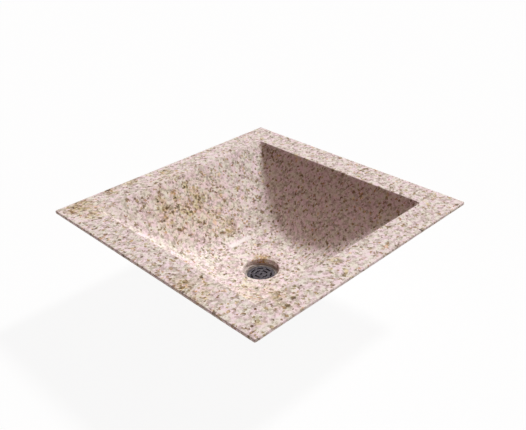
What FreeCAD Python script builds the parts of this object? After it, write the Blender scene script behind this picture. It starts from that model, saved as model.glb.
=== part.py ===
import FreeCAD, Part
import math
import os
from FreeCAD import Vector

# Square water basin cut from one block of granite, with a lift-out strainer over its drain.
# Millimetres. The origin is the middle of the underside of the foot, and +Z is up.
# The sides of the square run along X and Y.

# The stone, from the rim down to the drain
rim_side = 400.0
rim_width = 42.5
rim_corner_radius = 1.5
lip_height = 4.0
bowl_slope = 51.0
bowl_corner_radius = 3.0
floor_side = 151.7
floor_corner_radius = 60.0
floor_fall = 3.0
floor_cove_radius = 44.0
web_thickness = 14.0
foot_corner_radius = 10.0
foot_chamfer = 3.0
foot_ring_width = 21.0
outer_arris = 1.2
inner_arris = 1.8
drain_mouth_bevel = 2.0

# The drain body, a flanged tube with a male thread outside and a socket inside its lower end
tailpipe_radius = 16.0
socket_depth = 20.0
socket_wall = 4.85
socket_taper = 3.0
throat_step = 2.1
funnel_height = 9.0
flange_overhang = 3.55
flange_thickness = 3.5
flange_rim = 4.2

# The strainer, a thin plate with a bevelled edge and two rings of curved slots
strainer_drop = 9.0
strainer_thickness = 2.0
strainer_bevel = 0.6
strainer_seat_width = 3.2
slot_width = 2.4
slot_inset = 5.4
slot_ring_spacing = 6.2
slot_counts = (7, 4)
slot_bridge = 3.4
lifting_hole_radius = 1.9

# Seals, washers and nuts on the tube, and the room round them
flange_gasket_thickness = 1.5
bead_width = 1.5
bead_cove = 1.5
bead_lap = 0.8
back_gasket_thickness = 2.0
back_gasket_width = 8.7
washer_thickness = 1.5
washer_inset = 0.5
nut_wall = 5.05
lock_nut_height = 8.0
nut_face_inset = 0.5
nut_chamfer_angle = 30.0
nut_spacing = 2.0
union_nut_wall = 4.45
union_nut_height = 15.0
union_nut_lip = 2.0
union_nut_bevel = 1.0
union_nut_ribs = 12
union_rib_radius = 1.6
slip_ring_thickness = 1.0
packing_base = 0.8
packing_tip = 0.4
spanner_room = 7.0
foot_setback = 1.5

# Clearances between neighbours
strainer_clearance = 0.3
strainer_sink = 0.2
stone_clearance = 0.8
thread_clearance = 0.1
bead_clearance = 0.1
seal_clearance = 0.35
socket_clearance = 0.1
tailpipe_clearance = 0.4

# Radii, worked out from the tailpipe outwards
socket_radius = tailpipe_radius + socket_clearance
pipe_hole_radius = tailpipe_radius + tailpipe_clearance
throat_radius = socket_radius - throat_step
tube_radius = socket_radius + socket_wall
thread_bore_radius = tube_radius + thread_clearance
seal_bore_radius = tube_radius + seal_clearance
stone_bore_radius = tube_radius + stone_clearance
flange_radius = tube_radius + flange_overhang
rebate_radius = flange_radius - flange_rim
strainer_radius = rebate_radius - strainer_clearance
drain_mouth_radius = flange_radius + bead_width
back_gasket_radius = seal_bore_radius + back_gasket_width
washer_radius = back_gasket_radius - washer_inset
half_flats = tube_radius + nut_wall
hexagon_half_side = math.pi / 6
lock_nut_corner = half_flats / math.cos(hexagon_half_side)
counterbore_radius = lock_nut_corner + spanner_room
foot_side = 2 * (counterbore_radius + foot_ring_width)
union_nut_radius = tube_radius + union_nut_wall
packing_outer = tube_radius - thread_clearance
packing_neck = socket_radius + packing_tip

# Heights, worked out from the foot plane upwards through the pieces of the drain
union_nut_bottom = foot_setback
union_nut_top = union_nut_bottom + union_nut_height
slip_ring_bottom = union_nut_bottom + union_nut_lip
packing_bottom = slip_ring_bottom + slip_ring_thickness
packing_top = packing_bottom + packing_base + packing_outer - packing_neck
tube_end = packing_top - socket_taper + packing_tip + socket_clearance
lock_nut_bottom = union_nut_top + nut_spacing
washer_bottom = lock_nut_bottom + lock_nut_height
back_gasket_bottom = washer_bottom + washer_thickness
ceiling_z = back_gasket_bottom + back_gasket_thickness
ledge_z = ceiling_z + web_thickness
flange_bottom = ledge_z + flange_gasket_thickness
flange_top = flange_bottom + flange_thickness
seat_z = flange_top - strainer_thickness - strainer_sink
mouth_z = flange_top + strainer_drop
crease_z = mouth_z + floor_fall
bowl_tangent = math.tan(math.radians(bowl_slope))
mouth_half = rim_side / 2 - rim_width
floor_half = floor_side / 2
floor_gradient = floor_fall / (floor_half - drain_mouth_radius)
wall_depth = (mouth_half - floor_half) * bowl_tangent
rim_z = crease_z + wall_depth


def rounded_square(half, radius, z):
    """The four sides and four quarter-round corners of a square at height z, in turn."""
    straight = half - radius
    middle = straight + radius * math.sqrt(0.5)
    edges = []
    for quarter in range(4):
        cos_turn = round(math.cos(math.pi / 2 * quarter))
        sin_turn = round(math.sin(math.pi / 2 * quarter))

        def placed(x, y):
            return Vector(x * cos_turn - y * sin_turn, x * sin_turn + y * cos_turn, z)

        side = Part.LineSegment(placed(half, -straight), placed(half, straight))
        corner = Part.Arc(placed(half, straight), placed(middle, middle), placed(straight, half))
        edges += [side.toShape(), corner.toShape()]
    return edges


def tapered_block(sections):
    """Solid through rounded squares at rising heights, with flat sides and coned corners."""
    faces = [Part.Face(Part.Wire(sections[-1])), Part.Face(Part.Wire(sections[0]))]
    for lower, upper in zip(sections, sections[1:]):
        for low_edge, high_edge in zip(lower, upper):
            if isinstance(low_edge.Curve, Part.Line):
                low_start, low_end = [vertex.Point for vertex in low_edge.Vertexes]
                high_start, high_end = [vertex.Point for vertex in high_edge.Vertexes]
                loop = [low_start, low_end, high_end, high_start, low_start]
                faces.append(Part.Face(Part.makePolygon(loop)))
            else:
                faces.append(Part.makeRuledSurface(low_edge, high_edge))
    sewn = Part.makeShell(faces)
    sewn.sewShape()
    outward_faces = Part.makeSolid(sewn).Faces
    return Part.makeSolid(Part.makeShell(outward_faces))


def revolved(profile):
    """Solid of revolution about Z from a closed list of (radius, height) points."""
    points = [Vector(radius, 0, height) for radius, height in profile]
    face = Part.Face(Part.makePolygon(points + points[:1]))
    return face.revolve(Vector(0, 0, 0), Vector(0, 0, 1), 360)


def ring(inner, outer, bottom, top):
    """Plain flat ring."""
    return revolved([(inner, bottom), (outer, bottom), (outer, top), (inner, top)])


def edges_between(shape, low, high, reach=math.inf):
    """Edges that lie wholly between two heights, and no further than reach from the middle."""
    found = []
    for edge in shape.Edges:
        box = edge.BoundBox
        furthest = max(box.XMax, -box.XMin, box.YMax, -box.YMin)
        if box.ZMin > low and box.ZMax < high and furthest < reach:
            found.append(edge)
    return found


def edges_at(shape, height, reach=math.inf):
    """Level edges at one height, and no further than reach from the middle."""
    tolerance = 0.01
    return edges_between(shape, height - tolerance, height + tolerance, reach + tolerance)


def outer_block():
    """The dressed block: a level lip above four sides that run straight down to a small foot."""
    lip_z = rim_z - lip_height
    half = rim_side / 2
    sections = [
        rounded_square(foot_side / 2, foot_corner_radius, 0),
        rounded_square(half, rim_corner_radius, lip_z),
        rounded_square(half, rim_corner_radius, rim_z),
    ]
    block = tapered_block(sections)
    block = block.makeChamfer(foot_chamfer, edges_at(block, 0))
    return block.makeFillet(outer_arris, edges_at(block, rim_z) + edges_at(block, lip_z))


def bowl_space():
    """What is cut away for the bowl: four sloping walls and a floor that falls to the drain."""
    over = 2.0
    corner_growth = (floor_corner_radius - bowl_corner_radius) / wall_depth
    bottom_depth = rim_z - mouth_z
    bottom_half = mouth_half - bottom_depth / bowl_tangent
    bottom_radius = bowl_corner_radius + bottom_depth * corner_growth
    top_half = mouth_half + over / bowl_tangent
    top_radius = bowl_corner_radius - over * corner_growth
    walls = tapered_block(
        [
            rounded_square(bottom_half, bottom_radius, mouth_z),
            rounded_square(top_half, top_radius, rim_z + over),
        ]
    )
    reach = rim_side
    above_floor = revolved(
        [
            (0, mouth_z - drain_mouth_radius * floor_gradient),
            (reach, mouth_z + (reach - drain_mouth_radius) * floor_gradient),
            (reach, rim_z + 2 * over),
            (0, rim_z + 2 * over),
        ]
    )
    space = walls.common(above_floor)
    crease = edges_between(space, mouth_z, rim_z)
    return space.makeFillet(floor_cove_radius, crease)


def drain_space():
    """What is cut away for the drain: bevelled mouth, recess, ledge, bore and counterbore."""
    over = 6.0
    bevel_radius = drain_mouth_radius + drain_mouth_bevel
    bevel_z = mouth_z + drain_mouth_bevel * floor_gradient
    return revolved(
        [
            (0, -over),
            (counterbore_radius, -over),
            (counterbore_radius, ceiling_z),
            (stone_bore_radius, ceiling_z),
            (stone_bore_radius, ledge_z),
            (drain_mouth_radius, ledge_z),
            (drain_mouth_radius, bevel_z - drain_mouth_bevel),
            (bevel_radius, bevel_z),
            (bevel_radius, bevel_z + over),
            (0, bevel_z + over),
        ]
    )


def basin_stone():
    """The whole stone: block, bowl and drain, with the rim's inner arris rubbed round."""
    stone = outer_block().cut(bowl_space()).cut(drain_space())
    return stone.makeFillet(inner_arris, edges_at(stone, rim_z, mouth_half)).Solids[0]


def curved_slot(ring_radius, width, bridge, count, bottom, top):
    """Cutter for one slot of a ring: an arc about Z with round ends."""
    sweep = 2 * math.pi / count - (bridge + width) / ring_radius
    inner = ring_radius - width / 2
    outer = ring_radius + width / 2
    end_reach = width / 2 / ring_radius

    def at(radius, angle):
        return Vector(radius * math.cos(angle), radius * math.sin(angle), bottom)

    half = sweep / 2
    edges = [
        Part.Arc(at(outer, -half), at(outer, 0), at(outer, half)).toShape(),
        Part.Arc(at(outer, half), at(ring_radius, half + end_reach), at(inner, half)).toShape(),
        Part.Arc(at(inner, half), at(inner, 0), at(inner, -half)).toShape(),
        Part.Arc(at(inner, -half), at(ring_radius, -half - end_reach), at(outer, -half)).toShape(),
    ]
    return Part.Face(Part.Wire(edges)).extrude(Vector(0, 0, top - bottom))


def strainer_plate():
    """Thin plate with a bevelled edge, rings of curved slots and a hole to lift it by."""
    top = seat_z + strainer_thickness
    plate = revolved(
        [
            (0, seat_z),
            (strainer_radius, seat_z),
            (strainer_radius, top - strainer_bevel),
            (strainer_radius - strainer_bevel, top),
            (0, top),
        ]
    )
    over = 1.0
    below = seat_z - over
    above = top + over
    cutters = [Part.makeCylinder(lifting_hole_radius, above - below, Vector(0, 0, below))]
    for index, count in enumerate(slot_counts):
        ring_radius = strainer_radius - slot_inset - slot_ring_spacing * index
        slot = curved_slot(ring_radius, slot_width, slot_bridge, count, below, above)
        for turn in range(count):
            turned = slot.copy()
            turned.rotate(Vector(0, 0, 0), Vector(0, 0, 1), 360 / count * turn)
            cutters.append(turned)
    return plate.cut(cutters)


def drain_body():
    """Flanged tube: seat for the strainer, funnel, throat, and a socket with a coned mouth."""
    seat_inner = rebate_radius - strainer_seat_width
    shoulder_z = tube_end + socket_depth
    cone_radius = socket_radius + socket_taper
    return revolved(
        [
            (throat_radius, shoulder_z),
            (socket_radius, shoulder_z),
            (socket_radius, tube_end + socket_taper),
            (cone_radius, tube_end),
            (tube_radius, tube_end),
            (tube_radius, flange_bottom),
            (flange_radius, flange_bottom),
            (flange_radius, flange_top),
            (rebate_radius, flange_top),
            (rebate_radius, seat_z),
            (seat_inner, seat_z),
            (throat_radius, seat_z - funnel_height),
        ]
    )


def sealant_bead():
    """Elastic sealant between the flange and the recess, tooled to a slope on top."""
    inner = flange_radius + bead_clearance
    outer = drain_mouth_radius - bead_clearance
    return revolved(
        [
            (inner, ledge_z),
            (outer, ledge_z),
            (outer, flange_top + bead_cove),
            (flange_radius - bead_lap, flange_top),
            (inner, flange_top),
        ]
    )


def lock_nut():
    """Flat hexagonal nut, its corners turned off at both faces, that clamps the flange down."""
    bottom = lock_nut_bottom
    top = bottom + lock_nut_height
    points = []
    for corner in range(6):
        angle = hexagon_half_side * (2 * corner + 1)
        points.append(Vector(lock_nut_corner * math.cos(angle), lock_nut_corner * math.sin(angle), bottom))
    outline = Part.makePolygon(points + points[:1])
    prism = Part.Face(outline).extrude(Vector(0, 0, lock_nut_height))
    face_radius = half_flats - nut_face_inset
    drop = (lock_nut_corner - face_radius) * math.tan(math.radians(nut_chamfer_angle))
    turned = revolved(
        [
            (thread_bore_radius, bottom),
            (face_radius, bottom),
            (lock_nut_corner, bottom + drop),
            (lock_nut_corner, top - drop),
            (face_radius, top),
            (thread_bore_radius, top),
        ]
    )
    return prism.common(turned)


def union_nut():
    """Ribbed cap nut that squeezes the taper packing on to the tailpipe."""
    body = revolved(
        [
            (pipe_hole_radius, union_nut_bottom),
            (union_nut_radius - union_nut_bevel, union_nut_bottom),
            (union_nut_radius, union_nut_bottom + union_nut_bevel),
            (union_nut_radius, union_nut_top - union_nut_bevel),
            (union_nut_radius - union_nut_bevel, union_nut_top),
            (thread_bore_radius, union_nut_top),
            (thread_bore_radius, slip_ring_bottom),
            (pipe_hole_radius, slip_ring_bottom),
        ]
    )
    rib_bottom = union_nut_bottom + 2 * union_nut_bevel
    rib_height = union_nut_height - 4 * union_nut_bevel
    ribs = []
    for index in range(union_nut_ribs):
        angle = 2 * math.pi / union_nut_ribs * index
        middle = Vector(union_nut_radius * math.cos(angle), union_nut_radius * math.sin(angle), rib_bottom)
        ribs.append(Part.makeCylinder(union_rib_radius, rib_height, middle))
    return body.fuse(ribs)


def taper_packing():
    """Rubber ring whose cone is pressed into the coned mouth of the socket."""
    return revolved(
        [
            (socket_radius, packing_bottom),
            (packing_outer, packing_bottom),
            (packing_outer, packing_bottom + packing_base),
            (packing_neck, packing_top),
            (socket_radius, packing_top),
        ]
    )


def flat_rings():
    """The plain rings of the stack, by name."""
    return {
        "flange_gasket": ring(seal_bore_radius, flange_radius, ledge_z, flange_bottom),
        "back_gasket": ring(seal_bore_radius, back_gasket_radius, back_gasket_bottom, ceiling_z),
        "slip_washer": ring(seal_bore_radius, washer_radius, washer_bottom, back_gasket_bottom),
        "slip_ring": ring(pipe_hole_radius, packing_outer, slip_ring_bottom, packing_bottom),
    }


pieces = {
    "basin_stone": basin_stone(),
    "strainer_plate": strainer_plate(),
    "drain_body": drain_body(),
    "sealant_bead": sealant_bead(),
    "lock_nut": lock_nut(),
    "union_nut": union_nut(),
    "taper_packing": taper_packing(),
}
pieces.update(flat_rings())

os.makedirs("parts", exist_ok=True)
for name, piece in pieces.items():
    piece.exportStep(f"parts/{name}.step")
    print(f"{name}: {len(piece.Solids)} solid, {len(piece.Faces)} faces, valid {piece.isValid()}")
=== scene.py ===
import math
import bpy
import numpy as np
from mathutils import Matrix, Vector, noise


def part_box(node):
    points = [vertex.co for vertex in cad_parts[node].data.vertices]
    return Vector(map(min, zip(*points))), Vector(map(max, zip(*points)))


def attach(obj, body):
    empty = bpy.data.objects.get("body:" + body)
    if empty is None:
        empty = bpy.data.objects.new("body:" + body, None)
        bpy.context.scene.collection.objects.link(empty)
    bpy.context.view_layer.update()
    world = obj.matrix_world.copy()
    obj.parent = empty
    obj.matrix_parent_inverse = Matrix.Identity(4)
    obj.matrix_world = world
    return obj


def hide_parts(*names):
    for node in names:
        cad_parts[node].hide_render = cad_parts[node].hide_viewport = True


# A square water basin of rusty granite with a strainer over its drain, dressed round its packed
# model. Metres. The origin is the middle of the underside of the foot, and +Z is up.

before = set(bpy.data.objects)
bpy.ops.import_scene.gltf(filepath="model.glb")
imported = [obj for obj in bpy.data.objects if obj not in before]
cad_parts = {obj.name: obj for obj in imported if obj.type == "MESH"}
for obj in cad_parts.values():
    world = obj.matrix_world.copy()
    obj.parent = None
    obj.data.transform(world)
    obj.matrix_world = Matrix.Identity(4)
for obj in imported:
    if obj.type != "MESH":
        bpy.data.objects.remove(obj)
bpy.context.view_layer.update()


# The basin is cut from one block of granite: a level rim, four sloping walls with a cove at their
# foot, and a floor that falls to the drain. The rim and the bowl are rubbed smooth, and the outer
# sides are left pecked. It stands on its foot by its weight alone.

stone_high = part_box("basin_stone")[1]
rim_half = stone_high.x
rim_z = stone_high.z
rim_corner_radius = 0.0015
lip_height = 0.004
rim_width = 0.0425
mouth_half = rim_half - rim_width
mouth_corner_radius = 0.003
wall_slope = math.radians(51)
floor_half = 0.07585
floor_corner_radius = 0.060
floor_fall = 0.003
cove_depth = 0.0185
valley_opening = floor_corner_radius - mouth_corner_radius
valley_power = 2.0
valley_bottom = 1.35
foot_half = 0.058
foot_corner_radius = 0.010
foot_chamfer = 0.003
outer_arris = 0.0012
inner_arris = 0.0018
drain_arris = 0.0024
counterbore_arris = 0.0008
flange_overhang = 0.00275
spanner_room = 0.007
bead_gap = 0.0001

ledge_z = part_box("flange_gasket")[0].z
ceiling_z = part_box("back_gasket")[1].z
recess_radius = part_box("sealant_bead")[1].x + bead_gap
bore_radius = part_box("drain_body")[1].x - flange_overhang
counterbore_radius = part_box("lock_nut")[1].y + spanner_room
crease_z = rim_z - (mouth_half - floor_half) * math.tan(wall_slope)
drain_mouth_z = crease_z - floor_fall
floor_gradient = floor_fall / (floor_half - recess_radius)

side_columns = 104
corner_columns = 12
quarter_columns = side_columns + corner_columns
halvings = 24


def four_quarters(x, y, z):
    """One side and corner, turned four times about the middle."""
    x, y = np.concatenate([x, -y, -x, y]), np.concatenate([y, x, -y, -x])
    return np.stack([x, y, np.full(len(x), z)], axis=1)


def square_loop(half, radius, z):
    """Points of a round-cornered square at height z, the same number on every side."""
    straight = half - radius
    along = np.linspace(-straight, straight, side_columns, endpoint=False)
    turn = np.linspace(0, math.pi / 2, corner_columns, endpoint=False)
    x = np.concatenate([np.full(side_columns, half), straight + radius * np.cos(turn)])
    y = np.concatenate([along, straight + radius * np.sin(turn)])
    return four_quarters(x, y, z)


def circle_loop(radius, z):
    """Points of a circle at height z, each opposite its fellow on a square loop."""
    turn = (np.arange(quarter_columns) - side_columns / 2) / quarter_columns * math.pi / 2
    return four_quarters(radius * np.cos(turn), radius * np.sin(turn), z)


def wall_height(x, y):
    """Height of the walls over each place in plan, found by halving between two bounds."""
    high = np.zeros(len(x))
    low = np.full(len(x), valley_bottom)
    for _ in range(halvings):
        depth = (high + low) / 2
        half = mouth_half + (floor_half - mouth_half) * depth
        radius = mouth_corner_radius + valley_opening * depth ** valley_power
        radius = np.minimum(radius, half)
        across = np.abs(x) - half + radius
        along = np.abs(y) - half + radius
        inside = np.minimum(np.maximum(across, along), 0)
        outside = np.hypot(np.maximum(across, 0), np.maximum(along, 0)) + inside
        low = np.where(outside > radius, depth, low)
        high = np.where(outside > radius, high, depth)
    return rim_z + (crease_z - rim_z) * (high + low) / 2


def bowl_loop(share):
    """A loop round the bowl, from the mouth at 0 past the walls' foot at 1 to the drain at 2."""
    mouth = square_loop(mouth_half, mouth_corner_radius, 0)
    foot = square_loop(floor_half, floor_corner_radius, 0)
    drain = circle_loop(recess_radius, 0)
    plan = mouth + (foot - mouth) * share if share < 1 else foot + (drain - foot) * (share - 1)
    x, y = plan[:, 0], plan[:, 1]
    wall = wall_height(x, y)
    floor = drain_mouth_z + floor_gradient * np.maximum(np.hypot(x, y) - recess_radius, 0)
    nearness = np.clip(1 - np.abs(wall - floor) / cove_depth, 0, 1)
    height = np.maximum(wall, floor) + nearness ** 2 * cove_depth / 4
    return np.stack([x, y, height], axis=1)


def unit(vectors):
    """The same directions, each one metre long."""
    return vectors / np.linalg.norm(vectors, axis=1, keepdims=True)


def rounded(before, corner, after, radius, steps):
    """Loops that round the corner between three loops with an arc of the given radius."""
    if not radius:
        return [corner]
    back = unit(before - corner)
    ahead = unit(after - corner)
    half_angle = np.arccos(np.clip((back * ahead).sum(1), -1, 1)) / 2
    centre = corner + unit(back + ahead) * (radius / np.sin(half_angle))[:, None]
    first = corner + back * (radius / np.tan(half_angle))[:, None] - centre
    last = corner + ahead * (radius / np.tan(half_angle))[:, None] - centre
    sweep = math.pi - 2 * half_angle
    loops = []
    for step in range(steps + 1):
        share = step / steps
        start = np.sin((1 - share) * sweep) / np.sin(sweep)
        end = np.sin(share * sweep) / np.sin(sweep)
        loops.append(centre + first * start[:, None] + last * end[:, None])
    return loops


def woven(name, loops):
    """A closed mesh through loops of equal length, the last joined to the first."""
    here = np.arange(len(loops) * len(loops[0])).reshape(len(loops), -1)
    right = np.roll(here, -1, axis=1)
    above = np.roll(here, -1, axis=0)
    above_right = np.roll(above, -1, axis=1)
    faces = np.stack([here, right, above_right, above], axis=2).reshape(-1, 4)
    mesh = bpy.data.meshes.new(name)
    mesh.from_pydata(np.concatenate(loops).tolist(), [], faces.tolist())
    return mesh


def skin(name, corners):
    """A closed mesh through loops: each corner gives a loop, its radius and the steps round it,
    the steps of the run that follows it, and how deeply the tool has marked that run."""
    loops = []
    marks = []
    arrises = []
    for index, (corner, radius, steps, run, mark) in enumerate(corners):
        following = corners[(index + 1) % len(corners)]
        beyond = corners[(index + 2) % len(corners)][0]
        arc = rounded(corners[index - 1][0], corner, following[0], radius, steps)
        target = rounded(corner, following[0], beyond, following[1], following[2])[0]
        loops += arc + [arc[-1] + (target - arc[-1]) * step / run for step in range(1, run)]
        marks += [min(mark, corners[index - 1][4])] * len(arc) + [mark] * (run - 1)
        arrises += [float(radius > 0)] * len(arc) + [0.0] * (run - 1)
    return woven(name, loops), np.repeat(marks, len(loops[0])), np.repeat(arrises, len(loops[0]))


def painted(mesh, name, amounts):
    """Keeps an amount from 0 to 1 at every point of a mesh, for its material to read."""
    kept = mesh.attributes.new(name, "FLOAT", "POINT")
    kept.data.foreach_set("value", amounts.astype(np.float32))


side_slope = math.atan2(rim_z - lip_height, rim_half - foot_half)
chamfer_half = foot_half + foot_chamfer * math.cos(side_slope)
chamfer_z = foot_chamfer * math.sin(side_slope)
plain = 0.0
rubbed = 0.00006
pecked = 0.00030
broad_lump = 0.030
broad_share = 0.5
close_lump = 0.008
stone_edge = math.radians(50)

# From the bore out under the foot, up the outer sides, over the rim and down the bowl to the drain
stone_corners = [
    (circle_loop(bore_radius, ledge_z), 0, 0, 3, plain),
    (circle_loop(bore_radius, ceiling_z), 0, 0, 3, plain),
    (circle_loop(counterbore_radius, ceiling_z), 0, 0, 5, plain),
    (circle_loop(counterbore_radius, 0), counterbore_arris, 2, 6, rubbed),
    (square_loop(foot_half - foot_chamfer, foot_corner_radius, 0), 0, 0, 2, rubbed),
    (square_loop(chamfer_half, foot_corner_radius, chamfer_z), 0, 0, 70, pecked),
    (square_loop(rim_half, rim_corner_radius, rim_z - lip_height), outer_arris, 3, 2, rubbed),
    (square_loop(rim_half, rim_corner_radius, rim_z), outer_arris, 4, 18, rubbed),
    (square_loop(mouth_half, mouth_corner_radius, rim_z), inner_arris, 4, 1, rubbed),
]

# Loops round the bowl lie closest at the foot of the walls, where the cove bends
wall_shares = np.linspace(0.04, 0.76, 32).tolist()
foot_shares = np.linspace(0.78, 1.30, 24).tolist()
floor_shares = np.linspace(1.34, 1.90, 14).tolist()
bowl_shares = wall_shares + foot_shares + floor_shares
stone_corners += [(bowl_loop(share), 0, 0, 1, rubbed) for share in bowl_shares]
stone_corners += [
    (circle_loop(recess_radius, drain_mouth_z), drain_arris, 4, 5, plain),
    (circle_loop(recess_radius, ledge_z), 0, 0, 2, plain),
]
stone_mesh, tool_marks, arrises = skin("basin stone", stone_corners)
outward = [vertex.normal.copy() for vertex in stone_mesh.vertices]
for vertex, normal, mark in zip(stone_mesh.vertices, outward, tool_marks):
    place = vertex.co.copy()
    swell = broad_share * noise.noise(place / broad_lump) + noise.noise(place / close_lump)
    vertex.co = place + normal * mark * swell
stone_mesh.shade_smooth()
stone_mesh.set_sharp_from_angle(angle=stone_edge)
basin = bpy.data.objects.new("basin", stone_mesh)
bpy.context.collection.objects.link(basin)

stone_points = np.array([vertex.co for vertex in stone_mesh.vertices])
painted(stone_mesh, "pecking", tool_marks / pecked)
painted(stone_mesh, "arris", arrises)


def spotted(spots, reach):
    """1 within each spot's radius of its place, falling to 0 at reach times that radius."""
    amount = np.zeros(len(stone_points))
    for place, radius in spots:
        distance = np.linalg.norm(stone_points - np.array(place), axis=1)
        amount = np.maximum(amount, np.clip((reach - distance / radius) / (reach - 1), 0, 1))
    return amount


# Iron in the stone has rusted in spots, each given by its place and its radius
rust_spots = [
    ((-0.062, 0.130, 0.128), 0.008),
    ((-0.063, 0.143, 0.144), 0.006),
    ((-0.034, 0.125, 0.122), 0.008),
    ((-0.009, 0.137, 0.137), 0.007),
    ((-0.009, 0.146, 0.147), 0.005),
    ((0.008, 0.130, 0.127), 0.005),
    ((-0.037, 0.142, 0.142), 0.006),
    ((-0.009, 0.124, 0.121), 0.006),
    ((0.023, 0.092, 0.081), 0.008),
    ((0.002, 0.111, 0.104), 0.004),
    ((-0.115, 0.189, rim_z), 0.007),
    ((-0.022, 0.183, rim_z), 0.006),
    ((-0.080, 0.195, rim_z), 0.007),
    ((-0.165, 0.185, rim_z), 0.010),
    ((-0.180, 0.181, rim_z), 0.008),
    ((-0.169, 0.148, rim_z), 0.007),
    ((-0.190, -0.069, rim_z), 0.006),
    ((-0.198, -0.102, rim_z), 0.005),
    ((-0.130, -0.164, rim_z), 0.006),
    ((-0.177, -0.181, rim_z), 0.005),
    ((-0.031, -0.163, rim_z), 0.006),
]
rust_reach = 2.0
painted(stone_mesh, "rust", spotted(rust_spots, rust_reach))

# Wider patches have weathered darker and browner round the rust
weathered_patches = [
    ((-0.040, 0.130, 0.128), 0.028),
    ((0.005, 0.120, 0.116), 0.028),
    ((-0.172, 0.170, rim_z), 0.016),
    ((-0.188, -0.080, rim_z), 0.018),
    ((-0.050, -0.048, 0.060), 0.020),
    ((-0.130, -0.170, rim_z), 0.014),
]
weathered_reach = 2.4
painted(stone_mesh, "weathering", spotted(weathered_patches, weathered_reach))

# Water has stained the drain's mouth brown on one side: wholly over some of its spread, then less
stain_bearing = 44
stain_spread = 18
stain_radius = 0.0255
stain_fall = 0.0100
stain_whole = 0.6
stain_bottom = ledge_z - 0.001
from_middle = np.hypot(stone_points[:, 0], stone_points[:, 1])
bearing = np.degrees(np.arctan2(stone_points[:, 1], stone_points[:, 0]))
stained = np.clip(1 + stain_whole - np.abs(bearing - stain_bearing) / stain_spread, 0, 1)
stained = stained * np.clip(1 + stain_whole - (from_middle - stain_radius) / stain_fall, 0, 1)
painted(stone_mesh, "stain", stained * (stone_points[:, 2] > stain_bottom))

# Painted highlight: a pale line along the crease beside the drain, fading out in the same way
highlight_streak_start = np.array((0.0060, 0.0707, 0.0630))
highlight_streak_end = np.array((0.0425, 0.0682, 0.0650))
highlight_streak_length = 0.0367
highlight_streak_width = 0.0026
highlight_streak_whole = 0.8
highlight_streak_run = highlight_streak_end - highlight_streak_start
from_start = stone_points - highlight_streak_start
along_highlight_streak = np.clip(from_start @ highlight_streak_run / highlight_streak_length ** 2, 0, 1)
off_highlight_streak = np.linalg.norm(from_start - along_highlight_streak[:, None] * highlight_streak_run, axis=1)
painted(stone_mesh, "bruise", np.clip(1 + highlight_streak_whole - off_highlight_streak / highlight_streak_width, 0, 1))


class Socket:
    """One output among a finish's nodes. Arithmetic on it adds the node that works it out."""

    def __init__(self, finish, output):
        self.finish = finish
        self.output = output

    def calculate(self, operation, first, second):
        """The result of one operation, in vectors where either side is a vector or a colour."""
        sides = (first, second)
        kinds = {side.output.type if isinstance(side, Socket) else type(side) for side in sides}
        maths = "ShaderNodeVectorMath" if kinds & {"VECTOR", "RGBA", tuple} else "ShaderNodeMath"
        return self.finish.node(maths, {"operation": operation}, {0: first, 1: second})

    def __add__(self, other):
        return self.calculate("ADD", self, other)

    def __radd__(self, other):
        return self.calculate("ADD", other, self)

    def __sub__(self, other):
        return self.calculate("SUBTRACT", self, other)

    def __rsub__(self, other):
        return self.calculate("SUBTRACT", other, self)

    def __mul__(self, other):
        return self.calculate("MULTIPLY", self, other)

    def __rmul__(self, other):
        return self.calculate("MULTIPLY", other, self)


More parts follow.
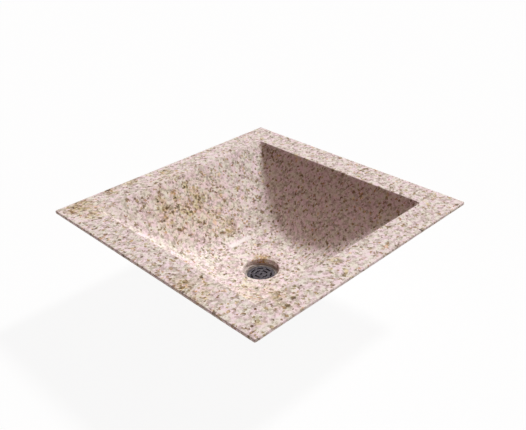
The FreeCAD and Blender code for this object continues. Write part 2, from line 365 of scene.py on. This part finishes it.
class Finish:
    """The nodes of one material, or of the room's light, added one at a time."""

    def __init__(self, name, kind=bpy.data.materials):
        self.owner = kind.new(name)
        self.owner.use_nodes = True
        self.tree = self.owner.node_tree

    def node(self, kind, settings, inputs, output=0):
        """Adds a node: first its settings, then the values or links of its sockets."""
        made = self.tree.nodes.new(kind)
        for name, value in settings.items():
            if name == "stops":
                made.color_ramp.interpolation, stops = value
                while len(made.color_ramp.elements) < len(stops):
                    made.color_ramp.elements.new(1)
                for element, (position, colour) in zip(made.color_ramp.elements, stops):
                    element.position = position
                    element.color = (*colour, 1)
            else:
                setattr(made, name, value)
        for name, value in inputs.items():
            self.feed(made.inputs[name], value)
        return Socket(self, made.outputs[output])

    def feed(self, socket, value):
        """Links a socket, or sets its value."""
        if isinstance(value, Socket):
            self.tree.links.new(value.output, socket)
        elif socket.type == "RGBA":
            socket.default_value = (*value, 1)
        elif socket.type == "VECTOR" and not isinstance(value, tuple):
            socket.default_value = (value, value, value)
        else:
            socket.default_value = value

    def shade(self, **sockets):
        """Sets or links the sockets of the surface's shader, named with _ for each space."""
        for name, value in sockets.items():
            self.feed(self.tree.nodes["Principled BSDF"].inputs[name.replace("_", " ")], value)

    def place(self):
        """Where on the object the surface is, in metres."""
        return self.node("ShaderNodeTexCoord", {}, {}, "Object")

    def amount(self, name):
        """What painted() kept on the mesh under this name."""
        return self.node("ShaderNodeAttribute", {"attribute_name": name}, {}, "Fac")

    def noise(self, place, size, detail=2.0, roughness=0.5):
        """Soft noise from 0 to 1 whose lumps are about size metres across."""
        inputs = {"Vector": place, "Scale": 1 / size, "Detail": detail, "Roughness": roughness}
        return self.node("ShaderNodeTexNoise", {}, inputs)

    def step(self, value, low, high):
        """0 below low, 1 above high, and smooth between."""
        inputs = {"Value": value, "From Min": low, "From Max": high}
        return self.node("ShaderNodeMapRange", {"interpolation_type": "SMOOTHSTEP"}, inputs)

    def mix(self, share, first, second):
        """The first colour, and as much of the second as share says."""
        inputs = {0: share, 6: first, 7: second}
        return self.node("ShaderNodeMix", {"data_type": "RGBA"}, inputs, 2)

    def ramp(self, value, stops, interpolation="CONSTANT"):
        """A colour for each value from 0 to 1."""
        return self.node("ShaderNodeValToRGB", {"stops": (interpolation, stops)}, {0: value})

    def bump(self, height, distance):
        """Relief of the given height in metres, from a value between 0 and 1."""
        relief = self.node("ShaderNodeBump", {}, {"Height": height, "Distance": distance})
        self.shade(Normal=relief)

    def cells(self, place, size):
        """Three random numbers from 0 to 1 for each grain of about the given size."""
        inputs = {"Vector": place, "Scale": 1 / size}
        colour = self.node("ShaderNodeTexVoronoi", {}, inputs, "Color")
        split = "ShaderNodeSeparateColor"
        return [self.node(split, {}, {0: colour}, channel) for channel in range(3)]


# The sizes of the grains, of the specks among them and of the clouds and patches over them
grain_size = 0.0040
small_grain_size = 0.0022
speck_size = 0.0029
large_speck_size = 0.0048
fine_size = 0.0013
mottle_size = 0.0095
cloud_size = 0.045
rust_size = 0.006
rust_cloud_size = 0.022
weathering_size = 0.014
stain_size = 0.0028
pit_size = 0.0028

# The grains' edges are bent, and each kind of grain lies a shift further along in the pattern
bend_scale = 280
grain_bend = 0.0040
grain_shift = 0.25

# The values between which each cloud or patch goes from nothing to its full strength
mottle_edge = (0.34, 0.66)
rust_edge = (0.36, 0.56)
rust_cloud_edge = (0.55, 0.72)
weathering_edge = (0.30, 0.60)
stain_edge = (0.36, 0.56)
highlight_streak_edge = (0.22, 0.48)
pit_edge = (0.36, 0.60)
grain_edge = 0.02
large_speck_edge = 0.01

# Which grains are quartz, how many are specks, and how many more are where clouds and rust lie
quartz_start = 0.70
speck_share = 0.10
large_speck_share = 0.022
speck_clouding = 0.10
rust_darkening = 0.06
weathered_darkening = 0.03
large_speck_clouding = 1.2

# How far each moves the tone, and the stone's colour for each tone from dark, 0, to light, 1
tone_base = 0.85
lift_span = 0.30
small_span = 0.22
fine_span = 0.14
cloud_span = 0.10
quartz_drop = 0.06
speck_drop_low = 0.16
speck_drop_span = 0.23
large_speck_drop = 0.36
rust_drop = 0.05
weathered_drop = 0.015
stone_tones = [
    (0.18, (0.042, 0.026, 0.018)),
    (0.32, (0.127, 0.082, 0.050)),
    (0.51, (0.296, 0.220, 0.165)),
    (0.73, (0.591, 0.474, 0.407)),
    (0.82, (0.745, 0.610, 0.546)),
    (0.89, (0.850, 0.708, 0.650)),
    (1.00, (0.905, 0.765, 0.710)),
]

# Tints over those tones, each with its share where it isn't whole
mottle_pink = (1.015, 1.00, 1.155)
mottle_green = (0.95, 1.09, 1.045)
speck_tints = [
    (0.00, (1.0, 0.94, 0.90)),
    (0.30, (1.0, 0.94, 0.64)),
    (0.70, (1.0, 0.78, 0.52)),
]
large_speck_tint = (1.0, 0.92, 0.68)
weathered_share = 0.8
weathered_tint = (0.98, 0.93, 0.83)
rust_cloud_share = 0.25
rust_cloud_tint = (0.97, 0.93, 0.80)
rust_share = 0.70
rust_tint = (0.80, 0.75, 0.43)
stain_tint = (0.66, 0.45, 0.17)
# Rounded edges painted paler: partly wear, partly painted light over the shaded lip and lit
# arrises
edge_wear_and_light_share = 0.15
edge_wear_and_light_colour = (0.80, 0.70, 0.65)
# Pale colour of the painted highlight along the crease beside the drain
highlight_streak_colour = (0.93, 0.88, 0.87)
pit_share = 0.22
pitted_stone = (0.86, 0.80, 0.76)

# The stone's gloss and relief
rubbed_roughness = 0.56
pecking_roughness = 0.2
quartz_gloss = 0.14
stone_specular = 0.2
fine_relief = 0.25
grain_relief = 0.15
pit_relief = 0.5
stone_relief = 0.00042


def granite():
    """Rusty granite: pale feldspar and quartz with specks of dark mica, clouded with rust."""
    finish = Finish("granite")
    place = finish.place()
    bending = {"Vector": place, "Scale": bend_scale, "Detail": 2}
    bend = finish.node("ShaderNodeTexNoise", {}, bending, "Color")
    bent = place + (bend - 0.5) * grain_bend
    lift, kind = finish.cells(bent, grain_size)[:2]
    small_lift = finish.cells(bent + grain_shift, small_grain_size)[0]
    dark_kind, dark_tint, dark_lift = finish.cells(bent + 2 * grain_shift, speck_size)
    large_kind, large_lift = finish.cells(bent + 3 * grain_shift, large_speck_size)[::2]
    fine = finish.noise(place, fine_size, 2, 0.6)
    mottle = finish.step(finish.noise(place, mottle_size, 2, 0.55), *mottle_edge)
    cloud = finish.noise(place, cloud_size, 2) - 0.5
    rust_patches = finish.step(finish.noise(place, rust_size, 2), *rust_edge)
    rust = finish.amount("rust") * rust_patches
    rust_cloud = finish.step(finish.noise(place, rust_cloud_size, 3, 0.6), *rust_cloud_edge)
    weathered = finish.step(finish.noise(place, weathering_size, 3), *weathering_edge)
    weathering = finish.amount("weathering") * weathered
    stain_patches = finish.step(finish.noise(place, stain_size, 2, 0.6), *stain_edge)
    stain = finish.amount("stain") * stain_patches
    # Painted highlight: a pale line along the crease where the lamp's glint falls in the cove
    bruise = finish.amount("bruise") * finish.step(fine, *highlight_streak_edge)
    pecking = finish.amount("pecking")
    pits = pecking * finish.step(finish.noise(place, pit_size, 2, 0.6), *pit_edge)

    quartz = finish.step(kind, quartz_start, quartz_start + grain_edge)
    darkening = speck_clouding * cloud + rust_darkening * rust + weathered_darkening * weathering
    speck = 1 - finish.step(dark_kind - darkening, speck_share, speck_share + grain_edge)
    large_kind = large_kind - large_speck_clouding * darkening
    large_full = large_speck_share + large_speck_edge
    large_speck = 1 - finish.step(large_kind, large_speck_share, large_full)
    tone = tone_base + lift_span * (lift - 0.5) + small_span * (small_lift - 0.5)
    tone = tone + fine_span * (fine - 0.5)
    tone = tone + cloud_span * cloud - quartz_drop * quartz
    tone = tone - speck * (speck_drop_low + speck_drop_span * dark_lift)
    tone = tone - large_speck * large_speck_drop * large_lift
    tone = tone - rust_drop * rust - weathered_drop * weathering

    colour = finish.ramp(tone, stone_tones, "LINEAR")
    colour = colour * finish.mix(mottle, mottle_pink, mottle_green)
    colour = finish.mix(speck, colour, colour * finish.ramp(dark_tint, speck_tints))
    colour = finish.mix(large_speck, colour, colour * large_speck_tint)
    colour = finish.mix(weathering * weathered_share, colour, colour * weathered_tint)
    colour = finish.mix(rust_cloud * rust_cloud_share, colour, colour * rust_cloud_tint)
    colour = finish.mix(rust * rust_share, colour, colour * rust_tint)
    colour = finish.mix(stain, colour, colour * stain_tint)
    # Paler rounded edges: wear, and painted light that narrows the lip's shade and lights the
    # arrises
    colour = finish.mix(finish.amount("arris") * edge_wear_and_light_share, colour, edge_wear_and_light_colour)
    # Paints the pale highlight line along the crease beside the drain
    colour = finish.mix(bruise, colour, highlight_streak_colour)
    colour = finish.mix(pits * pit_share, colour, pitted_stone)
    roughness = rubbed_roughness + pecking_roughness * pecking - quartz_gloss * quartz * fine
    finish.shade(Base_Color=colour, Roughness=roughness, Specular_IOR_Level=stone_specular)
    finish.bump(fine_relief * fine + grain_relief * lift + pit_relief * pits, stone_relief)
    return finish.owner


basin.data.materials.append(granite())
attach(basin, "basin")
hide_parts("basin_stone")


# The flange gasket is a thin ring of black rubber on the ledge in the stone, which the drain's
# flange presses on. It is cut from sheet, and the two rubber seals under the stone are as black.


def rubber():
    """Black rubber, dulled by chalk and water."""
    finish = Finish("black rubber")
    place = finish.place()
    black = (0.022, 0.021, 0.020)
    chalk = (0.090, 0.085, 0.080)
    fine = finish.noise(place, 0.0008)
    dusty = finish.step(finish.noise(place, 0.006, 4, 0.6), 0.45, 0.75)
    colour = finish.mix(dusty * (0.3 + 0.4 * fine), black, chalk)
    finish.shade(Base_Color=colour, Roughness=0.62 + 0.25 * dusty, Specular_IOR_Level=0.35)
    finish.bump(fine, 0.00006)
    return finish.owner


def repaint(material, node):
    """Gives a material to a node whose shape stays as it was packed."""
    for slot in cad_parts[node].material_slots:
        slot.material = material


black_rubber = rubber()
repaint(black_rubber, "flange_gasket")


# The drain body is a flanged brass tube, plated with nickel that water has dulled. Its flange lies
# on the gasket and has a turned seat for the strainer. Its tube goes down through the stone and is
# threaded outside for the nuts.

tube_end, flange_top = [corner.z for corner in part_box("drain_body")]
flange_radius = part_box("drain_body")[1].x
flange_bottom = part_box("flange_gasket")[1].z
seat_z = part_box("strainer_plate")[0].z
tube_radius = 0.02095
rebate_radius = 0.0203
seat_inner = 0.0171
socket_radius = 0.0161
throat_radius = 0.0140
funnel_height = 0.009
socket_depth = 0.020
socket_taper = 0.003
thread_pitch = 0.0023
thread_depth = 0.0007
thread_steps = 6
thread_margin = 0.0005
flange_bevel = 0.0005
rebate_bevel = 0.0003
seat_bevel = 0.0004
turned_columns = 144
turned_edge = math.radians(35)


def turned(name, profile, cut):
    """A ring through (radius, height) points, in turn. cut gives how far each point is cut in,
    from its radius, its height and its share of a whole turn."""
    share = np.arange(turned_columns) / turned_columns
    loops = []
    for radius, z in profile:
        radii = radius - cut(radius, z, share)
        angle = 2 * math.pi * share
        heights = np.full(turned_columns, z)
        loops.append(np.stack([radii * np.cos(angle), radii * np.sin(angle), heights], axis=1))
    mesh = woven(name, loops)
    mesh.shade_smooth()
    mesh.set_sharp_from_angle(angle=turned_edge)
    piece = bpy.data.objects.new(name, mesh)
    bpy.context.collection.objects.link(piece)
    return piece


def thread(radius, z, share):
    """How deeply a pipe thread is cut into the outside of the tube."""
    on_tube = math.isclose(radius, tube_radius)
    threaded = on_tube and tube_end + thread_margin < z < flange_bottom - thread_margin
    ridge = np.abs((z / thread_pitch - share) % 1 - 0.5) * 2
    return thread_depth * ridge * threaded


tube_heights = np.arange(tube_end, flange_bottom, thread_pitch / thread_steps).tolist()
drain_profile = [
    (throat_radius, tube_end + socket_depth),
    (socket_radius, tube_end + socket_depth),
    (socket_radius, tube_end + socket_taper),
    (socket_radius + socket_taper, tube_end),
    *[(tube_radius, z) for z in tube_heights],
    (tube_radius, flange_bottom),
    (flange_radius, flange_bottom),
    (flange_radius, flange_top - flange_bevel),
    (flange_radius - flange_bevel, flange_top),
    (rebate_radius + rebate_bevel, flange_top),
    (rebate_radius, flange_top - rebate_bevel),
    (rebate_radius, seat_z),
    (seat_inner + seat_bevel, seat_z),
    (seat_inner, seat_z - seat_bevel),
    (throat_radius, seat_z - funnel_height),
]
drain = turned("drain", drain_profile, thread)


def turning_marks(finish, place, scale, detail):
    """Fine rings round the axis, as a lathe leaves them."""
    sideways = place * (1, 1, 0)
    radius = finish.node("ShaderNodeVectorMath", {"operation": "LENGTH"}, {0: sideways}, "Value")
    inputs = {"W": radius, "Scale": scale, "Detail": detail}
    return finish.node("ShaderNodeTexNoise", {"noise_dimensions": "1D"}, inputs)


def nickel():
    """Dull nickel plating over brass, with turning marks and a bloom of lime."""
    finish = Finish("dull nickel")
    place = finish.place()
    dull_grey = (0.36, 0.33, 0.31)
    brown_film = (0.17, 0.135, 0.115)
    pale_lime = (0.52, 0.46, 0.42)
    marks = turning_marks(finish, place, 4000, 1)
    lime = finish.step(finish.noise(place, 0.005, 4, 0.65), 0.45, 0.72)
    tarnish = finish.step(finish.noise(place, 0.012, 3), 0.40, 0.70)
    colour = finish.mix(tarnish * 0.8, dull_grey, brown_film)
    colour = finish.mix(lime * 0.5, colour, pale_lime)
    roughness = 0.34 + 0.10 * marks + 0.25 * lime
    finish.shade(Base_Color=colour, Metallic=1 - 0.6 * lime, Roughness=roughness)
    finish.bump(0.6 * marks + 0.4 * lime, 0.00005)
    return finish.owner


drain.data.materials.append(nickel())
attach(drain, "basin")
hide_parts("drain_body")


# The sealant bead is grey elastic sealant, run round the flange and drawn off to a hollow with a
# finger. Grit and lime from the water have settled on it.

bead_inner = flange_radius + bead_gap
bead_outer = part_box("sealant_bead")[1].x
bead_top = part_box("sealant_bead")[1].z
bead_foot = flange_top + 0.0001
bead_shoulder = 0.001
bead_lap = 0.0008
bead_hollow = 0.00035
bead_steps = 8
finger_press = 0.00018
finger_lumps = 3
pressed_low = flange_top - 0.0001
pressed_high = bead_top - 0.0002
bead_profile = [
    (bead_inner, ledge_z),
    (bead_outer, ledge_z),
    (bead_outer, bead_top - bead_shoulder),
]
for step in range(bead_steps + 1):
    share = step / bead_steps
    hollow = bead_hollow * math.sin(math.pi * share)
    bead_profile.append((
        bead_outer + (flange_radius - bead_lap - bead_outer) * share,
        bead_top + (bead_foot - bead_top) * share - hollow,
    ))
bead_profile.append((bead_inner, flange_top))


def finger_marks(radius, z, share):
    """How far in the finger pressed that drew the bead off, here more and there less."""
    places = []
    for turn in 2 * math.pi * share:
        places.append(Vector((math.cos(turn) * finger_lumps, math.sin(turn) * finger_lumps, 0)))
    waver = np.array([noise.noise(place) for place in places])
    return finger_press * waver * (pressed_low < z < pressed_high)


bead = turned("bead", bead_profile, finger_marks)


def sealant():
    """Grey sealant, a little glossy, dirty in patches."""
    finish = Finish("sealant")
    place = finish.place()
    clean_grey = (0.40, 0.33, 0.30)
    dirty_brown = (0.24, 0.175, 0.135)
    pale_grit = (0.50, 0.43, 0.38)
    dirt = finish.step(finish.noise(place, 0.007, 4, 0.65), 0.42, 0.68)
    grit = finish.step(finish.noise(place, 0.0012, 2), 0.55, 0.65)
    colour = finish.mix(dirt * 0.7, clean_grey, dirty_brown)
    colour = finish.mix(grit * 0.4, colour, pale_grit)
    finish.shade(Base_Color=colour, Roughness=0.42 + 0.3 * dirt)
    finish.bump(0.5 * grit + 0.5 * dirt, 0.00010)
    return finish.owner


bead.data.materials.append(sealant())
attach(bead, "basin")
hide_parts("sealant_bead")


# Under the stone, a rubber gasket seals the hole, and a slippery plastic washer lies against it. A
# brass lock nut, turned from hexagonal bar, screws up the tube against them and clamps the flange.


def plastic():
    """Cream polyethylene, faintly cloudy, with dust in its scratches."""
    finish = Finish("cream plastic")
    place = finish.place()
    cream = (0.78, 0.76, 0.70)
    yellowed = (0.70, 0.67, 0.60)
    brown_dust = (0.40, 0.36, 0.30)
    cloud = finish.noise(place, 0.010, 3)
    dust = finish.step(finish.noise(place * (1, 6, 1), 0.002, 3, 0.7), 0.55, 0.70)
    colour = finish.mix(cloud, cream, yellowed)
    colour = finish.mix(dust * 0.35, colour, brown_dust)
    finish.shade(Base_Color=colour, Roughness=0.42 + 0.25 * dust)
    finish.bump(dust, 0.00004)
    return finish.owner


def brass():
    """Turned brass, going brown where water has stood."""
    finish = Finish("turned brass")
    place = finish.place()
    yellow = (0.62, 0.48, 0.24)
    brown = (0.34, 0.22, 0.10)
    green = (0.20, 0.30, 0.22)
    marks = turning_marks(finish, place, 3000, 2)
    tarnish = finish.step(finish.noise(place, 0.009, 4, 0.62), 0.38, 0.66)
    spots = finish.step(finish.noise(place, 0.0018, 2), 0.64, 0.72)
    colour = finish.mix(tarnish * 0.7, yellow, brown)
    colour = finish.mix(spots * 0.5, colour, green)
    roughness = 0.28 + 0.12 * marks + 0.2 * tarnish
    finish.shade(Base_Color=colour, Metallic=1 - 0.5 * spots, Roughness=roughness)
    finish.bump(marks, 0.00004)
    return finish.owner


cream_plastic = plastic()
repaint(black_rubber, "back_gasket")
repaint(cream_plastic, "slip_washer")
repaint(brass(), "lock_nut")


# The union nut is ribbed for the hand and plated with chrome. With the cone of rubber in it and
# the slippery ring under that, it waits on the end of the tube for a tailpipe.


def chrome():
    """Chrome, with water spots and smears."""
    finish = Finish("chrome")
    place = finish.place()
    bright = (0.66, 0.67, 0.68)
    smeared = (0.50, 0.50, 0.50)
    smear = finish.step(finish.noise(place, 0.014, 3), 0.42, 0.66)
    spots = finish.step(finish.noise(place, 0.0035, 2), 0.62, 0.68)
    colour = finish.mix(smear * 0.3, bright, smeared)
    finish.shade(Base_Color=colour, Metallic=1.0, Roughness=0.10 + 0.14 * smear + 0.25 * spots)
    finish.bump(spots, 0.00002)
    return finish.owner


repaint(chrome(), "union_nut")
repaint(cream_plastic, "slip_ring")
repaint(black_rubber, "taper_packing")


# The strainer is a plate pressed from thin metal, darkened by the water, with two rings of curved
# slots and a hole to lift it by. It lies loose on the seat in the flange.

plate_low, plate_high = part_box("strainer_plate")
plate_radius = plate_high.x
pressed_edge = 0.0004
pressed_steps = 2
plate_points = 96
slot_width = 0.0024
slot_bridge = 0.0034
outer_ring_inset = 0.0054
outer_ring_slots = 7
inner_ring_inset = 0.0116
inner_ring_slots = 4
slot_rings = [
    (plate_radius - outer_ring_inset, outer_ring_slots),
    (plate_radius - inner_ring_inset, inner_ring_slots),
]
slot_side_points = 15
slot_end_points = 8
lifting_hole_radius = 0.0019
lifting_hole_points = 24
plate_edge = math.radians(50)


def circle(radius, points):
    """The outline of a round, or of a round hole."""
    turns = np.linspace(0, 2 * math.pi, points, endpoint=False)
    return [(radius * math.cos(turn), radius * math.sin(turn)) for turn in turns]


def slot(ring_radius, middle, sweep):
    """The outline of a curved slot with round ends."""
    outline = []
    for end, way in ((middle + sweep / 2, 1), (middle - sweep / 2, -1)):
        edge_radius = ring_radius + way * slot_width / 2
        for turn in np.linspace(2 * middle - end, end, slot_side_points)[:-1]:
            outline.append((edge_radius * math.cos(turn), edge_radius * math.sin(turn)))
        for round_end in np.linspace(0, math.pi, slot_end_points)[:-1]:
            reach = ring_radius + way * math.cos(round_end) * slot_width / 2
            bulge = way * math.sin(round_end) * slot_width / 2
            outline.append((
                reach * math.cos(end) - bulge * math.sin(end),
                reach * math.sin(end) + bulge * math.cos(end),
            ))
    return outline


outlines = [circle(plate_radius, plate_points), circle(lifting_hole_radius, lifting_hole_points)]
for ring_radius, count in slot_rings:
    sweep = 2 * math.pi / count - (slot_bridge + slot_width) / ring_radius
    outlines += [slot(ring_radius, 2 * math.pi * index / count, sweep) for index in range(count)]
pressing = bpy.data.curves.new("strainer outline", "CURVE")
pressing.dimensions = "2D"
pressing.fill_mode = "BOTH"
pressing.extrude = (plate_high.z - plate_low.z) / 2 - pressed_edge
pressing.bevel_depth = pressed_edge
pressing.bevel_resolution = pressed_steps
pressing.offset = -pressed_edge
for outline in outlines:
    spline = pressing.splines.new("POLY")
    spline.points.add(len(outline) - 1)
    for point, (x, y) in zip(spline.points, outline):
        point.co = (x, y, 0, 1)
    spline.use_cyclic_u = True
pattern = bpy.data.objects.new("strainer outline", pressing)
strainer = bpy.data.objects.new("strainer", bpy.data.meshes.new_from_object(pattern))
strainer.data.transform(Matrix.Translation((0, 0, (plate_low.z + plate_high.z) / 2)))
strainer.data.set_sharp_from_angle(angle=plate_edge)
bpy.context.collection.objects.link(strainer)
bpy.data.objects.remove(pattern)


def dark_metal():
    """Metal gone dark and dull under water, bluish, with paler scale in patches."""
    finish = Finish("dark metal")
    place = finish.place()
    bluish = (0.060, 0.055, 0.072)
    greyer = (0.090, 0.080, 0.090)
    pale_scale = (0.24, 0.22, 0.22)
    scale = finish.step(finish.noise(place, 0.004, 4, 0.65), 0.48, 0.72)
    film = finish.noise(place, 0.010, 3)
    fine = finish.noise(place, 0.0007)
    colour = finish.mix(film, bluish, greyer)
    colour = finish.mix(scale * 0.35, colour, pale_scale)
    roughness = 0.40 + 0.25 * scale + 0.1 * fine
    finish.shade(Base_Color=colour, Metallic=0.8 - 0.6 * scale, Roughness=roughness)
    finish.bump(0.5 * fine + 0.5 * scale, 0.00006)
    return finish.owner


strainer.data.materials.clear()
strainer.data.materials.append(dark_metal())
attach(strainer, "strainer")
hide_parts("strainer_plate")


# The studio is a sheet of white paper under the basin, a soft lamp high on the right, and a pale
# room round them. What the camera and bright surfaces see of the paper and the room is white.

white = (1.0, 1.0, 1.0)
paper_grey = (0.85, 0.85, 0.85)
paper_reach = 6.0
paper_z = -0.0002
paper_brightness = 0.93
room_strength = 0.085
room_colour = (1.0, 0.24, 0.12)


def seen(finish):
    """1 for what is seen directly, mirrored or through glass, 0 for what only lights the basin."""
    camera_ray = finish.node("ShaderNodeLightPath", {}, {}, "Is Camera Ray")
    glossy_ray = finish.node("ShaderNodeLightPath", {}, {}, "Is Glossy Ray")
    passing_ray = finish.node("ShaderNodeLightPath", {}, {}, "Is Transmission Ray")
    return camera_ray + glossy_ray + passing_ray


def paper():
    """Matt paper, almost pure white where it is seen."""
    finish = Finish("paper")
    finish.shade(Base_Color=paper_grey, Roughness=0.9)
    surface = Socket(finish, finish.tree.nodes["Principled BSDF"].outputs[0])
    glow = finish.node("ShaderNodeEmission", {}, {"Color": white, "Strength": 1.0})
    shares = {0: seen(finish) * paper_brightness, 1: surface, 2: glow}
    seen_paper = finish.node("ShaderNodeMixShader", {}, shares)
    finish.feed(finish.tree.nodes["Material Output"].inputs["Surface"], seen_paper)
    return finish.owner


def pale_room():
    """The room's light: white where it is seen, dim and reddish where it only lights the basin."""
    finish = Finish("room", bpy.data.worlds)
    dim_light = {"Color": room_colour, "Strength": room_strength}
    dim = finish.node("ShaderNodeBackground", {}, dim_light)
    bright = finish.node("ShaderNodeBackground", {}, {"Color": white, "Strength": 1.0})
    room = finish.node("ShaderNodeMixShader", {}, {0: seen(finish), 1: dim, 2: bright})
    finish.feed(finish.tree.nodes["World Output"].inputs["Surface"], room)
    return finish.owner


ways = [(-1, -1), (1, -1), (1, 1), (-1, 1)]
paper_corners = [(x * paper_reach, y * paper_reach, paper_z) for x, y in ways]
floor_mesh = bpy.data.meshes.new("floor")
floor_mesh.from_pydata(paper_corners, [], [(0, 1, 2, 3)])
floor_mesh.materials.append(paper())
floor = bpy.data.objects.new("floor", floor_mesh)
bpy.context.collection.objects.link(floor)
bpy.context.scene.world = pale_room()

lamp_elevation = math.radians(51.5)
lamp_turn = math.radians(-10)
lamp_strength = 3.50
lamp_softness = math.radians(8)
towards_lamp = Vector((
    math.cos(lamp_elevation) * math.cos(lamp_turn),
    math.cos(lamp_elevation) * math.sin(lamp_turn),
    math.sin(lamp_elevation),
))
lamp_data = bpy.data.lights.new("lamp", "SUN")
lamp_data.energy = lamp_strength
lamp_data.angle = lamp_softness
lamp = bpy.data.objects.new("lamp", lamp_data)
lamp.rotation_euler = towards_lamp.to_track_quat("Z", "Y").to_euler()
bpy.context.collection.objects.link(lamp)


# The camera looks down over the near corner of the rim, and is tilted a little to one side. Its
# place, angles and lens were worked out from the rim's four corners in the photograph.

camera_azimuth = math.radians(-43.582)
camera_elevation = math.radians(29.728)
camera_roll = math.radians(-1.908)
camera_place = Vector((-0.5725, -0.6099, 0.6253))
camera_lens = 47.42
towards_camera = Vector((
    math.sin(camera_azimuth) * math.cos(camera_elevation),
    -math.cos(camera_azimuth) * math.cos(camera_elevation),
    math.sin(camera_elevation),
))
level_right = (-towards_camera).cross(Vector((0, 0, 1))).normalized()
level_up = towards_camera.cross(level_right)
right = level_right * math.cos(camera_roll) + level_up * math.sin(camera_roll)
up = level_up * math.cos(camera_roll) - level_right * math.sin(camera_roll)
camera_data = bpy.data.cameras.new("camera")
camera_data.lens = camera_lens
camera = bpy.data.objects.new("camera", camera_data)
facing = Matrix((right, up, towards_camera)).transposed().to_4x4()
camera.matrix_world = Matrix.Translation(camera_place) @ facing
bpy.context.collection.objects.link(camera)
bpy.context.scene.camera = camera
bpy.context.scene.view_settings.view_transform = "Standard"
